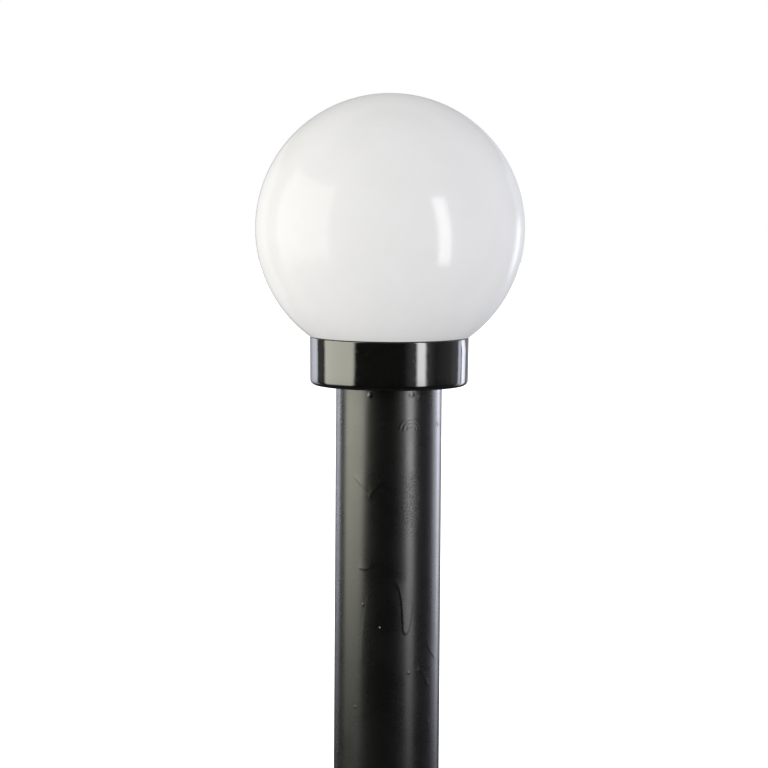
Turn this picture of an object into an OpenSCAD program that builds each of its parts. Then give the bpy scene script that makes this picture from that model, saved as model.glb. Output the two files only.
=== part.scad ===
// Post top light: an opal globe twisted into a round cup, on a round post with a bolted base plate.
// Millimetres. +Z is up, and the origin is the centre of the base plate's underside.

/* [Overall] */
// Height from the ground to the top of the globe
overall_h = 800; // [700:1:1200]

/* [Base plate] */
// Diameter of the round base plate
plate_d = 180; // [165:1:220]
// Thickness of the base plate
plate_t = 8; // [6:0.5:12]
// Chamfer round the upper edge of the base plate
plate_chamfer = 1; // [0.5:0.1:2]
// Number of anchor bolt holes
bolt_count = 4; // [3:1:6]
// Circle through the anchor bolt holes
bolt_pcd = 140; // [120:1:150]
// Diameter of an anchor bolt hole
bolt_hole_d = 12; // [9:0.5:14]
// Diameter of the cable hole in the base plate
cable_hole_d = 50; // [30:1:60]
// Leg of the weld bead between plate and post
weld_leg = 5; // [3:0.5:7]

/* [Post] */
// Outside diameter of the post
post_d = 80; // [78:0.5:86]
// Wall of the post tube
post_wall = 3; // [2:0.5:4]
// Thickness of the disc pressed into the post's end
disc_t = 8; // [6:0.5:12]
// Diameter of the cable hole in that disc
disc_hole_d = 32; // [31:0.5:42]

/* [Collar cup] */
// Diameter over the rim of the cup
rim_d = 120; // [119.5:0.5:124]
// Diameter of the cup just above its rounded foot
foot_d = 119.2; // [118.4:0.1:119.6]
// Height of the cup
collar_h = 36.5; // [36:0.5:42]
// Radius round the foot of the cup
foot_r = 4; // [3.5:0.5:7]
// Wall of the cup
cup_wall = 3.3; // [2.8:0.1:3.6]
// Thickness of a rib inside the cup
rib_t = 1.5; // [1:0.1:2.5]
// Height of a rib inside the cup
rib_h = 12; // [6:0.5:13]
// Floor of the cup
floor_t = 3; // [2.5:0.1:4]
// Width of the lip outside the ring seal
lip_w = 1.8; // [1.4:0.1:2]
// Depth of the rebate that holds the ring seal
rebate_h = 2.5; // [2:0.1:4]
// Distance from the bore of the post in to the screws that hold the cup
fix_edge = 6; // [5.5:0.1:7]
// Thickness of the flat seal under the cup
seal_t = 1; // [0.5:0.1:2]

/* [Globe and twist lock] */
// Diameter of the globe
globe_d = 203; // [195:1:215]
// Wall of the globe
globe_wall = 2.5; // [2:0.1:3.5]
// How far the globe's shoulder stands out past the rim
overhang = 0.9; // [0.2:0.1:1.5]
// Gap between the globe's shoulder and the rim
seat_gap = 0.3; // [0.2:0.1:0.6]
// Outside diameter of the globe's neck
neck_d = 98; // [94:0.5:100]
// Angle that one lug of the neck covers
lug_arc = 30; // [20:1:32]
// Thickness of a lug
lug_t = 3.7; // [3:0.1:4]
// Distance from the rim down to the top of a tab
tab_drop = 11; // [8:0.5:12]
// Thickness of a tab
tab_t = 3; // [2.5:0.1:3.5]

/* [Lampholder] */
// Height of the bridge above the floor of the cup
bridge_h = 16.5; // [15.5:0.1:17]
// Thickness of the bracket's steel strip
strip_t = 1.5; // [1.2:0.1:2]
// Height of the lampholder
holder_h = 48; // [46:1:52]
// Diameter of the lampholder's foot
holder_d = 48; // [47:0.5:50]
// Diameter of the lampholder's upper part
barrel_d = 36; // [35:0.5:38]

/* [Lamp] */
// Diameter of the bulb
bulb_d = 60; // [50:1:66]
// Length of the lamp with its cap
lamp_l = 108; // [98:1:118]
// Diameter of the lamp's screw cap
cap_d = 26.1; // [25.8:0.1:26.3]

/* [Wiring] */
// Outside diameter of a lead
lead_d = 2.2; // [1.8:0.1:2.4]
// Radius at the middle of a lead's bends
lead_bend_r = 4.5; // [4:0.1:5.5]
// Diameter of a lead's bare conductor
wire_d = 1.6; // [1.2:0.1:1.7]
// Height of the terminal block
block_h = 13; // [12.5:0.1:14]
// Distance between the poles of the terminal block
pole_pitch = 10; // [9.5:0.1:10.5]

/* [Hidden] */
$fn = 96;
over = 1;
fit = 0.05;
slip = 0.15;
hole_play = 0.5;
blind_floor = 1.5;

// Heights from the globe down to the post
globe_r = globe_d / 2;
shoulder_r = rim_d / 2 + overhang;
globe_z = overall_h - globe_r;
shoulder_z = globe_z - sqrt(globe_r * globe_r - shoulder_r * shoulder_r);
rim_z = shoulder_z - seat_gap;
cup_z = rim_z - collar_h;
floor_z = cup_z + floor_t;
post_top = cup_z - seal_t;
post_in_r = post_d / 2 - post_wall;
disc_z = post_top - disc_t;

// Cup and twist lock
cup_in_r = foot_d / 2 - cup_wall;
lip_in_r = rim_d / 2 - lip_w;
neck_r = neck_d / 2;
neck_play = 1.5;
tab_in_r = neck_r + neck_play;
turn_play = 6;
tab_arc = lug_arc + turn_play;
tab_count = 3;
tab_turn = 360 / tab_count;
tab_z = rim_z - tab_drop - tab_t;
stop_arc = 4;
lug_play = 0.3;
lug_z = tab_z - lug_play - lug_t;
lug_lap = 3.1;
lug_out_r = tab_in_r + lug_lap;
neck_edge = 1;
neck_z = lug_z - neck_edge;
stop_play = 0.4;
lug_turn = turn_play / 2 - stop_play;

// Screws that hold the cup
fix_r = post_in_r - fix_edge;
fix_d = 5;
fix_head_d = 9.5;
fix_head_h = 3.2;
fix_l = 14;
fix_turn = 30;
fix_count = 3;
washer_d = 10;
washer_t = 1;
washer_play = 0.4;
seal_inset = 0.5;
rib_reach = 7.5;
rib_foot = 2;
rib_turn = 12;

// Grommet
grommet_hole_r = 12;
grommet_lap = 2.5;
grommet_flange_r = grommet_hole_r + grommet_lap;
grommet_flange_t = 2;
grommet_bore_r = 6;
membrane_t = 1;

// Bracket
strip_play = 0.5;
strip_w = 2 * (fix_r * sin(fix_turn) - washer_d / 2 - strip_play);
strip_corner = 3;
boss_h = 3;
boss_r = 4.5;
bridge_x = 20;
boss_x = bridge_x + 9;
foot_end = boss_x + 7;
earth_x = boss_x + 10;
earth_foot_end = earth_x + 5;
bend_r = 2;
small_d = 4;
small_head_d = 7.2;
small_head_h = 2.4;
foot_z = floor_z + boss_h;
bridge_z = floor_z + bridge_h;

// Lampholder
holder_r = holder_d / 2;
barrel_r = barrel_d / 2;
holder_foot_h = 16;
foot_edge = 2;
barrel_edge = 1.5;
shell_r = 14;
shell_t = 0.5;
shell_floor = 20;
shell_h = 25;
contact_pocket = 4;
contact_pocket_r = 6;
holder_screw_x = 11;
holder_screw_l = 8;
pocket_w = 6.6;
pocket_z = 6;
term_x = pole_pitch;
term_y = 17.5;
term_w = 6;
term_h = 7;
term_screw_l = 5;
shell_screw_y = 9.3;
shell_screw_d = 2.5;
shell_screw_l = 5;
shell_head_d = 4.6;
shell_head_h = 1.4;
mouth_flare = 1;

// Lamp
contact_z = bridge_z + shell_floor + 2.5;
cap_l = 22.5;
tip_r = 4.7;
tip_h = 0.8;
insulator_r = 11;
insulator_h = 4;
lamp_neck_r = 14.6;
lamp_seam_r = 13.2;
lamp_neck_z = contact_z + 28;
flare_r = 40;
bulb_r = bulb_d / 2;
bulb_z = contact_z + lamp_l - bulb_r;
flare_x = lamp_neck_r + flare_r;
flare_z = bulb_z - sqrt(pow(bulb_r + flare_r, 2) - pow(flare_x, 2));

// Terminal block and leads
block_l = 3 * pole_pitch + 2;
block_w = 16;
block_gap = 0.5;
block_y = grommet_flange_r + block_gap + block_w / 2;
block_seat = 9;
block_screw_l = 11;
block_head_d = 3.7;
block_head_h = 1.8;
block_blind_floor = 0.6;
notch_w = 1.4;
notch_deep = 2;
lead_z = floor_z + 6.7;
wire_top = lead_z + wire_d / 2;
barrel_out_r = 3;
wire_hole_r = 1.2;
clamp_d = 3;
clamp_head_d = 3.4;
clamp_y = 4.6;
clamp_l = 4.5;
barrel_inset = 0.8;
block_screw_x = pole_pitch / 2;
bare_in = 5.5;
term_wire_z = bridge_z + 9;
block_face = block_y + block_w / 2;
bend_y = block_face + 1.5;
earth_run_y = bend_y + lead_bend_r + lead_d + 2.5;
earth_bend_1 = 6;
earth_bend_2 = 8;
tag_t = 0.8;
tag_r = 4.2;
tag_neck_w = 3.4;
tag_neck_in = 1.5;
tag_barrel_y = 5.5;
tag_barrel_l = 6;
tag_barrel_r = 1.9;
earth_washer_t = 0.8;
earth_washer_r = small_head_d / 2 + 0.3;
earth_screw_l = 5.4;

// A ring about the Z axis
module ring(out_r, in_r, z, h) {
  translate([0, 0, z])
    difference() {
      cylinder(r = out_r, h = h);
      translate([0, 0, -over]) cylinder(r = in_r, h = h + 2 * over);
    }
}

// A block that follows the Z axis round, from one angle through another
module arc_block(in_r, out_r, z, h, from, sweep) {
  rotate([0, 0, from])
    rotate_extrude(angle = sweep)
      translate([in_r, z]) square([out_r - in_r, h]);
}

// A rod along -Y from the given point
module rod(x, y, z, d, l) {
  translate([x, y, z]) rotate([90, 0, 0]) cylinder(d = d, h = l);
}

// A domed cross recess screw, its head resting on Z = 0 and its shank pointing down
module cross_screw(d, l, head_d, head_h) {
  dome = head_h * 0.45;
  dome_r = (head_d * head_d / 4 + dome * dome) / (2 * dome);
  slot_w = head_d * 0.12;
  slot_l = head_d * 0.52;
  slot_h = head_h * 0.5;
  difference() {
    union() {
      rotate_extrude()
        intersection() {
          square([head_d / 2, head_h]);
          translate([0, head_h - dome_r]) circle(r = dome_r);
        }
      translate([0, 0, -l]) cylinder(d = d, h = l + head_h / 4);
    }
    for (turn = [0, 90])
      rotate([0, 0, turn])
        translate([-slot_l / 2, -slot_w / 2, head_h - slot_h]) cube([slot_l, slot_w, slot_h + over]);
  }
}

// A slotted grub screw, its tip at Z = 0 and its slot at the top
module slot_screw(d, l) {
  slot_w = d * 0.2;
  slot_h = d * 0.3;
  difference() {
    cylinder(d = d, h = l);
    translate([-d, -slot_w / 2, l - slot_h]) cube([2 * d, slot_w, slot_h + over]);
  }
}

module at_fixings() {
  for (i = [0:fix_count - 1])
    rotate([0, 0, fix_turn + i * 360 / fix_count])
      translate([fix_r, 0, 0]) children();
}

module base_plate() {
  color([0.05, 0.05, 0.055])
    difference() {
      rotate_extrude()
        polygon([
          [cable_hole_d / 2, 0],
          [plate_d / 2, 0],
          [plate_d / 2, plate_t - plate_chamfer],
          [plate_d / 2 - plate_chamfer, plate_t],
          [cable_hole_d / 2, plate_t]
        ]);
      for (i = [0:bolt_count - 1])
        rotate([0, 0, 45 + i * 360 / bolt_count])
          translate([bolt_pcd / 2, 0, -over]) cylinder(d = bolt_hole_d, h = plate_t + 2 * over);
    }
}

module base_weld() {
  color([0.06, 0.06, 0.065])
    rotate_extrude()
      polygon([
        [post_d / 2, plate_t],
        [post_d / 2 + weld_leg, plate_t],
        [post_d / 2, plate_t + weld_leg]
      ]);
}

module post_tube() {
  color([0.05, 0.05, 0.055])
    ring(post_d / 2, post_in_r, plate_t, post_top - plate_t);
}

module end_disc() {
  color([0.55, 0.56, 0.57])
    difference() {
      ring(post_in_r - fit, disc_hole_d / 2, disc_z, disc_t);
      at_fixings() translate([0, 0, disc_z - over]) cylinder(d = fix_d + 2 * fit, h = disc_t + 2 * over);
    }
}

module collar_seal() {
  color([0.04, 0.04, 0.04])
    difference() {
      ring(post_d / 2 - seal_inset, disc_hole_d / 2, post_top, seal_t);
      at_fixings() translate([0, 0, post_top - over]) cylinder(d = fix_d + hole_play, h = seal_t + 2 * over);
    }
}

module cup_profile() {
  difference() {
    union() {
      polygon([
        [0, cup_z + foot_r],
        [foot_d / 2, cup_z + foot_r],
        [rim_d / 2, rim_z - lip_w / 2],
        [0, rim_z - lip_w / 2]
      ]);
      translate([0, cup_z]) square([foot_d / 2 - foot_r, foot_r + fit]);
      translate([foot_d / 2 - foot_r, cup_z + foot_r]) circle(r = foot_r);
      translate([rim_d / 2 - lip_w / 2, rim_z - lip_w / 2]) circle(d = lip_w);
    }
    translate([-foot_d, cup_z - over]) square([foot_d, collar_h + 2 * over]);
    translate([0, floor_z + cup_wall]) square([cup_in_r, collar_h]);
    translate([0, floor_z]) square([cup_in_r - cup_wall, collar_h]);
    translate([cup_in_r - cup_wall, floor_z + cup_wall]) circle(r = cup_wall);
    translate([0, rim_z - rebate_h]) square([lip_in_r, rebate_h + over]);
  }
}

// Gusset ribs between the floor and the wall, in pairs between the tabs
module cup_ribs() {
  for (i = [0:tab_count - 1])
    for (side = [-rib_turn, rib_turn])
      rotate([0, 0, (i + 0.5) * tab_turn + side])
        translate([0, rib_t / 2, 0])
          rotate([90, 0, 0])
            linear_extrude(height = rib_t)
              polygon([
                [cup_in_r + over, floor_z - over],
                [cup_in_r - rib_reach, floor_z - over],
                [cup_in_r - rib_reach, floor_z + rib_foot],
                [cup_in_r - over, floor_z + rib_h],
                [cup_in_r + over, floor_z + rib_h]
              ]);
}

module collar_cup() {
  color([0.02, 0.02, 0.022])
    difference() {
      union() {
        rotate_extrude() cup_profile();
        cup_ribs();
        for (i = [0:tab_count - 1])
          rotate([0, 0, i * tab_turn]) {
            arc_block(tab_in_r, cup_in_r + over, tab_z, tab_t, -tab_arc / 2, tab_arc);
            arc_block(tab_in_r, cup_in_r + over, lug_z, tab_z + tab_t - lug_z, tab_arc / 2, stop_arc);
          }
        for (x = [-boss_x, boss_x])
          translate([x, 0, floor_z - over]) cylinder(r = boss_r, h = boss_h + over);
      }
      translate([0, 0, cup_z - over]) cylinder(r = grommet_hole_r, h = floor_t + 2 * over);
      at_fixings() translate([0, 0, cup_z - over]) cylinder(d = fix_d + hole_play, h = floor_t + 2 * over);
      for (x = [-boss_x, boss_x])
        translate([x, 0, cup_z + blind_floor]) cylinder(d = small_d + 2 * fit, h = floor_t + boss_h);
      for (x = [-block_screw_x, block_screw_x])
        translate([x, block_y, cup_z + block_blind_floor]) cylinder(d = clamp_d + 2 * fit, h = floor_t);
    }
}

module collar_screws() {
  color([0.72, 0.72, 0.7])
    at_fixings()
      translate([0, 0, floor_z + washer_t]) cross_screw(fix_d, fix_l, fix_head_d, fix_head_h);
}

module collar_washers() {
  color([0.7, 0.7, 0.68])
    at_fixings() ring(washer_d / 2, (fix_d + washer_play) / 2, floor_z, washer_t);
}

module cable_grommet() {
  color([0.05, 0.05, 0.05]) {
    ring(grommet_flange_r, grommet_bore_r, floor_z, grommet_flange_t);
    ring(grommet_hole_r, grommet_bore_r, cup_z, floor_t);
    ring(grommet_flange_r, grommet_bore_r, cup_z - grommet_flange_t, grommet_flange_t);
    translate([0, 0, cup_z + floor_t / 2 - membrane_t / 2])
      cylinder(r = grommet_bore_r + over, h = membrane_t);
  }
}

module globe_seal() {
  color([0.06, 0.06, 0.06])
    ring(lip_in_r - slip, cup_in_r + slip, rim_z - rebate_h, rebate_h + seat_gap);
}

module globe_profile() {
  difference() {
    union() {
      intersection() {
        translate([0, globe_z]) circle(r = globe_r);
        translate([0, shoulder_z]) square([globe_d, 2 * globe_d]);
      }
      translate([0, neck_z]) square([neck_r, shoulder_z - neck_z + globe_wall]);
    }
    intersection() {
      translate([0, globe_z]) circle(r = globe_r - globe_wall);
      translate([0, shoulder_z + globe_wall]) square([globe_d, 2 * globe_d]);
    }
    translate([0, neck_z - over]) square([neck_r - globe_wall, shoulder_z - neck_z + globe_wall + 2 * over]);
  }
}

module globe() {
  color([0.93, 0.93, 0.92]) {
    rotate_extrude() globe_profile();
    for (i = [0:tab_count - 1])
      arc_block(neck_r - over, lug_out_r, lug_z, lug_t, i * tab_turn - lug_arc / 2 + lug_turn, lug_arc);
  }
}

// The strip's path seen from the side: foot, riser, bridge, riser, foot
module strip_side() {
  polygon([
    [-earth_foot_end, foot_z],
    [-bridge_x, foot_z],
    [-bridge_x, bridge_z - strip_t],
    [bridge_x, bridge_z - strip_t],
    [bridge_x, foot_z],
    [foot_end, foot_z],
    [foot_end, foot_z + strip_t],
    [bridge_x + strip_t, foot_z + strip_t],
    [bridge_x + strip_t, bridge_z],
    [-bridge_x - strip_t, bridge_z],
    [-bridge_x - strip_t, foot_z + strip_t],
    [-earth_foot_end, foot_z + strip_t]
  ]);
}

// The strip's outline seen from above, with rounded corners
module strip_plan() {
  half = strip_w / 2;
  translate([-earth_foot_end, strip_corner - half])
    square([earth_foot_end + foot_end, strip_w - 2 * strip_corner]);
  translate([strip_corner - earth_foot_end, -half])
    square([earth_foot_end + foot_end - 2 * strip_corner, strip_w]);
  for (x = [strip_corner - earth_foot_end, foot_end - strip_corner])
    for (y = [strip_corner - half, half - strip_corner])
      translate([x, y]) circle(r = strip_corner);
}

module lamp_bracket() {
  color([0.68, 0.69, 0.68])
    difference() {
      union() {
        intersection() {
          translate([0, strip_w / 2, 0])
            rotate([90, 0, 0])
              linear_extrude(height = strip_w) strip_side();
          translate([0, 0, foot_z - over])
            linear_extrude(height = bridge_h) strip_plan();
        }
        for (side = [-1, 1])
          translate([side * (bridge_x + strip_t), 0, foot_z + strip_t])
            rotate([90, 0, 0])
              difference() {
                translate([side > 0 ? -fit : -bend_r, -fit, -strip_w / 2])
                  cube([bend_r + fit, bend_r + fit, strip_w]);
                translate([side * bend_r, bend_r, -strip_w / 2 - over])
                  cylinder(r = bend_r, h = strip_w + 2 * over);
              }
      }
      for (x = [-boss_x, boss_x])
        translate([x, 0, foot_z - over]) cylinder(d = small_d + hole_play, h = strip_t + 2 * over);
      translate([-earth_x, 0, foot_z - over]) cylinder(d = small_d + 2 * fit, h = strip_t + 2 * over);
      for (x = [-holder_screw_x, holder_screw_x])
        translate([x, 0, bridge_z - strip_t - over])
          cylinder(d = small_d + hole_play, h = strip_t + 2 * over);
    }
}

module bracket_screws() {
  color([0.72, 0.72, 0.7])
    for (x = [-boss_x, boss_x])
      translate([x, 0, foot_z + strip_t])
        cross_screw(small_d, strip_t + boss_h + floor_t / 3, small_head_d, small_head_h);
}

module holder_profile() {
  bore = shell_r + fit;
  difference() {
    union() {
      square([holder_r, holder_foot_h - foot_edge]);
      square([holder_r - foot_edge, holder_foot_h]);
      translate([holder_r - foot_edge, holder_foot_h - foot_edge]) circle(r = foot_edge);
      square([barrel_r, holder_h - barrel_edge]);
      square([barrel_r - barrel_edge, holder_h]);
      translate([barrel_r - barrel_edge, holder_h - barrel_edge]) circle(r = barrel_edge);
      difference() {
        translate([barrel_r - fit, holder_foot_h - fit]) square(foot_edge + fit);
        translate([barrel_r + foot_edge, holder_foot_h + foot_edge]) circle(r = foot_edge);
      }
    }
    translate([0, shell_floor]) square([bore, holder_h]);
    polygon([
      [0, holder_h - mouth_flare],
      [bore, holder_h - mouth_flare],
      [bore + mouth_flare + over, holder_h + over],
      [0, holder_h + over]
    ]);
  }
}

module holder_body() {
  color([0.93, 0.92, 0.88])
    difference() {
      translate([0, 0, bridge_z]) rotate_extrude() holder_profile();
      translate([0, 0, bridge_z + shell_floor - contact_pocket])
        cylinder(r = contact_pocket_r, h = contact_pocket + over);
      for (x = [-holder_screw_x, holder_screw_x])
        translate([x, 0, bridge_z - over]) cylinder(d = small_d + 2 * fit, h = holder_screw_l + over);
      for (y = [-shell_screw_y, shell_screw_y])
        translate([0, y, bridge_z + shell_floor - shell_screw_l])
          cylinder(d = shell_screw_d + 2 * fit, h = shell_screw_l + over);
      for (x = [-term_x, term_x])
        translate([x - pocket_w / 2, term_y - term_w / 2 - slip, bridge_z + pocket_z])
          cube([pocket_w, holder_r, holder_foot_h]);
    }
}

module holder_screws() {
  color([0.72, 0.72, 0.7])
    for (x = [-holder_screw_x, holder_screw_x])
      translate([x, 0, bridge_z - strip_t])
        rotate([180, 0, 0]) cross_screw(small_d, holder_screw_l, small_head_d, small_head_h);
}

module screw_shell() {
  color([0.78, 0.62, 0.3])
    difference() {
      translate([0, 0, bridge_z + shell_floor]) cylinder(r = shell_r, h = shell_h);
      translate([0, 0, bridge_z + shell_floor + shell_t]) cylinder(r = shell_r - shell_t, h = shell_h);
      translate([0, 0, bridge_z + shell_floor - over]) cylinder(r = contact_pocket_r, h = 2 * over + shell_t);
      for (y = [-shell_screw_y, shell_screw_y])
        translate([0, y, bridge_z + shell_floor - over])
          cylinder(d = shell_screw_d + hole_play, h = shell_t + 2 * over);
    }
}

module shell_screws() {
  color([0.75, 0.6, 0.3])
    for (y = [-shell_screw_y, shell_screw_y])
      translate([0, y, bridge_z + shell_floor + shell_t])
        cross_screw(shell_screw_d, shell_screw_l, shell_head_d, shell_head_h);
}

// A leaf folded up out of the pocket, its foot riveted down and its tip under the lamp
module centre_contact() {
  leaf_t = 0.6;
  leaf_w = 5;
  foot_half = 4.5;
  tip_half = 3.2;
  slope_w = 1.3;
  heel_x = -3;
  rivet_r = 1.3;
  base_z = bridge_z + shell_floor - contact_pocket;
  top_z = contact_z - leaf_t;
  color([0.8, 0.58, 0.32]) {
    translate([0, leaf_w / 2, 0])
      rotate([90, 0, 0])
        linear_extrude(height = leaf_w)
          polygon([
            [-foot_half, base_z],
            [foot_half, base_z],
            [foot_half, base_z + leaf_t],
            [heel_x + slope_w, base_z + leaf_t],
            [tip_half, top_z],
            [tip_half, top_z + leaf_t],
            [-tip_half, top_z + leaf_t],
            [-tip_half, top_z],
            [tip_half - slope_w, top_z],
            [heel_x, base_z + leaf_t],
            [-foot_half, base_z + leaf_t]
          ]);
    translate([foot_half - rivet_r - leaf_t / 2, 0, base_z + leaf_t / 2]) cylinder(r = rivet_r, h = leaf_t);
  }
}

module holder_terminals() {
  color([0.78, 0.62, 0.3])
    for (x = [-term_x, term_x])
      difference() {
        translate([x - term_w / 2, term_y - term_w / 2, bridge_z + pocket_z])
          cube([term_w, term_w, term_h]);
        rod(x, term_y + term_w, term_wire_z, 2 * wire_hole_r, 2 * term_w);
        translate([x, term_y, term_wire_z]) cylinder(d = clamp_d + 2 * fit, h = term_h);
      }
}

module holder_terminal_screws() {
  color([0.72, 0.66, 0.45])
    for (x = [-term_x, term_x])
      translate([x, term_y, term_wire_z + wire_d / 2 + fit]) slot_screw(clamp_d, term_screw_l);
}

// Contact, insulator, screw cap and neck, then a flare that meets the bulb's circle smoothly
module lamp_profile() {
  intersection() {
    union() {
      translate([0, contact_z]) square([tip_r, 2 * tip_h]);
      polygon([
        [0, contact_z + tip_h],
        [tip_r + tip_h, contact_z + tip_h],
        [insulator_r, contact_z + insulator_h],
        [cap_d / 2, contact_z + insulator_h],
        [cap_d / 2, contact_z + cap_l],
        [lamp_seam_r, contact_z + cap_l + tip_h],
        [lamp_seam_r, lamp_neck_z - insulator_h],
        [lamp_neck_r, lamp_neck_z],
        [lamp_neck_r, flare_z],
        [0, flare_z]
      ]);
      difference() {
        polygon([[0, flare_z - fit], [flare_x, flare_z - fit], [flare_x, flare_z], [0, bulb_z]]);
        translate([flare_x, flare_z]) circle(r = flare_r);
      }
      translate([0, bulb_z]) circle(r = bulb_r);
    }
    translate([0, contact_z]) square([2 * bulb_r, 2 * lamp_l]);
  }
}

module lamp() {
  color([0.9, 0.9, 0.88]) rotate_extrude() lamp_profile();
}

module terminal_block() {
  color([0.86, 0.85, 0.8])
    difference() {
      translate([-block_l / 2, block_y - block_w / 2, floor_z]) cube([block_l, block_w, block_h]);
      for (i = [-1:1]) {
        rod(i * pole_pitch, block_y + block_w, lead_z, 2 * (barrel_out_r + fit), 2 * block_w);
        for (side = [-1, 1])
          translate([i * pole_pitch, block_y + side * clamp_y, lead_z])
            cylinder(d = clamp_head_d, h = block_h);
      }
      for (x = [-block_screw_x, block_screw_x]) {
        translate([x, block_y, floor_z - over]) cylinder(d = clamp_d + 2 * slip, h = block_h + 2 * over);
        translate([x, block_y, floor_z + block_seat]) cylinder(d = block_head_d + 2 * fit, h = block_h);
        for (side = [-1, 1])
          translate([x - notch_w / 2, block_y + side * block_w / 2 - notch_deep, floor_z + notch_deep])
            cube([notch_w, 2 * notch_deep, block_h]);
      }
    }
}

module terminal_barrels() {
  color([0.78, 0.62, 0.3])
    for (i = [-1:1])
      difference() {
        rod(i * pole_pitch, block_face - barrel_inset, lead_z, 2 * barrel_out_r, block_w - 2 * barrel_inset);
        rod(i * pole_pitch, block_face, lead_z, 2 * wire_hole_r, block_w);
        for (side = [-1, 1])
          translate([i * pole_pitch, block_y + side * clamp_y, lead_z])
            cylinder(d = clamp_d + 2 * fit, h = block_h);
      }
}

module terminal_screws() {
  color([0.72, 0.66, 0.45])
    for (i = [-1:1])
      for (side = [-1, 1])
        translate([i * pole_pitch, block_y + side * clamp_y, wire_top + fit]) slot_screw(clamp_d, clamp_l);
}

module block_screws() {
  color([0.72, 0.72, 0.7])
    for (x = [-block_screw_x, block_screw_x])
      translate([x, block_y, floor_z + block_seat])
        cross_screw(clamp_d, block_screw_l, block_head_d, block_head_h);
}

module earth_tag() {
  z = foot_z + strip_t;
  tag_end = tag_barrel_y + tag_barrel_l;
  color([0.74, 0.73, 0.7])
    difference() {
      union() {
        translate([-earth_x, 0, z]) cylinder(r = tag_r, h = tag_t);
        translate([-earth_x - tag_neck_w / 2, tag_r - tag_neck_in, z])
          cube([tag_neck_w, tag_end - tag_r + tag_neck_in, tag_t]);
        rod(-earth_x, tag_end, lead_z, 2 * tag_barrel_r, tag_barrel_l);
      }
      translate([-earth_x, 0, z - over]) cylinder(d = small_d + 2 * slip, h = tag_t + 2 * over);
      rod(-earth_x, tag_end + over, lead_z, wire_d + 2 * fit, tag_barrel_l + 2 * over);
    }
}

module earth_washer() {
  color([0.78, 0.62, 0.3])
    translate([-earth_x, 0, foot_z + strip_t + tag_t])
      ring(earth_washer_r, small_d / 2 + slip, 0, earth_washer_t);
}

module earth_screw() {
  color([0.78, 0.62, 0.3])
    translate([-earth_x, 0, foot_z + strip_t + tag_t + earth_washer_t])
      cross_screw(small_d, earth_screw_l, small_head_d, small_head_h);
}

// A quarter ring of lead about the X axis, from straight down round to +Y, or on to straight up
module lead_bend(turn) {
  rotate([0, 90, 0])
    rotate([0, 0, turn])
      rotate_extrude(angle = 90) translate([lead_bend_r, 0]) circle(d = lead_d);
}

// A lead from one pole, up and back into the lampholder's terminal
module loop_lead(x) {
  term_face = term_y + term_w / 2;
  rod(x, bend_y, lead_z, lead_d, bend_y - block_face - slip);
  rod(x, bend_y, lead_z, wire_d, bend_y - block_face + bare_in);
  translate([x, bend_y, lead_z + lead_bend_r]) lead_bend(0);
  translate([x, bend_y + lead_bend_r, lead_z + lead_bend_r])
    cylinder(d = lead_d, h = term_wire_z - lead_z - 2 * lead_bend_r);
  translate([x, bend_y, term_wire_z - lead_bend_r]) lead_bend(90);
  rod(x, bend_y, term_wire_z, lead_d, bend_y - term_face - barrel_inset);
  rod(x, bend_y, term_wire_z, wire_d, bend_y - term_y + term_w / 3);
}

module lead_live() {
  color([0.35, 0.18, 0.08]) loop_lead(-pole_pitch);
}

module lead_neutral() {
  color([0.1, 0.25, 0.6]) loop_lead(pole_pitch);
}

module lead_earth() {
  first_y = earth_run_y - earth_bend_1;
  turn_x = -earth_x + earth_bend_2;
  turn_y = earth_run_y - earth_bend_2;
  tag_end = tag_barrel_y + tag_barrel_l;
  color([0.45, 0.6, 0.12]) {
    rod(0, first_y, lead_z, lead_d, first_y - block_face - slip);
    rod(0, first_y, lead_z, wire_d, first_y - block_face + bare_in);
    translate([-earth_bend_1, first_y, lead_z])
      rotate_extrude(angle = 90) translate([earth_bend_1, 0]) circle(d = lead_d);
    translate([turn_x, earth_run_y, lead_z])
      rotate([0, 90, 0]) cylinder(d = lead_d, h = -earth_bend_1 - turn_x);
    translate([turn_x, turn_y, lead_z])
      rotate([0, 0, 90]) rotate_extrude(angle = 90) translate([earth_bend_2, 0]) circle(d = lead_d);
    rod(-earth_x, turn_y, lead_z, lead_d, turn_y - tag_end - slip);
    rod(-earth_x, turn_y, lead_z, wire_d, turn_y - tag_barrel_y - tag_t);
  }
}

base_plate();
base_weld();
post_tube();
end_disc();
collar_seal();
collar_cup();
collar_screws();
collar_washers();
cable_grommet();
globe_seal();
globe();
lamp_bracket();
bracket_screws();
holder_body();
holder_screws();
screw_shell();
shell_screws();
centre_contact();
holder_terminals();
holder_terminal_screws();
lamp();
terminal_block();
terminal_barrels();
terminal_screws();
block_screws();
earth_tag();
earth_washer();
earth_screw();
lead_live();
lead_neutral();
lead_earth();
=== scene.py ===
from math import pi, radians

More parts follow.
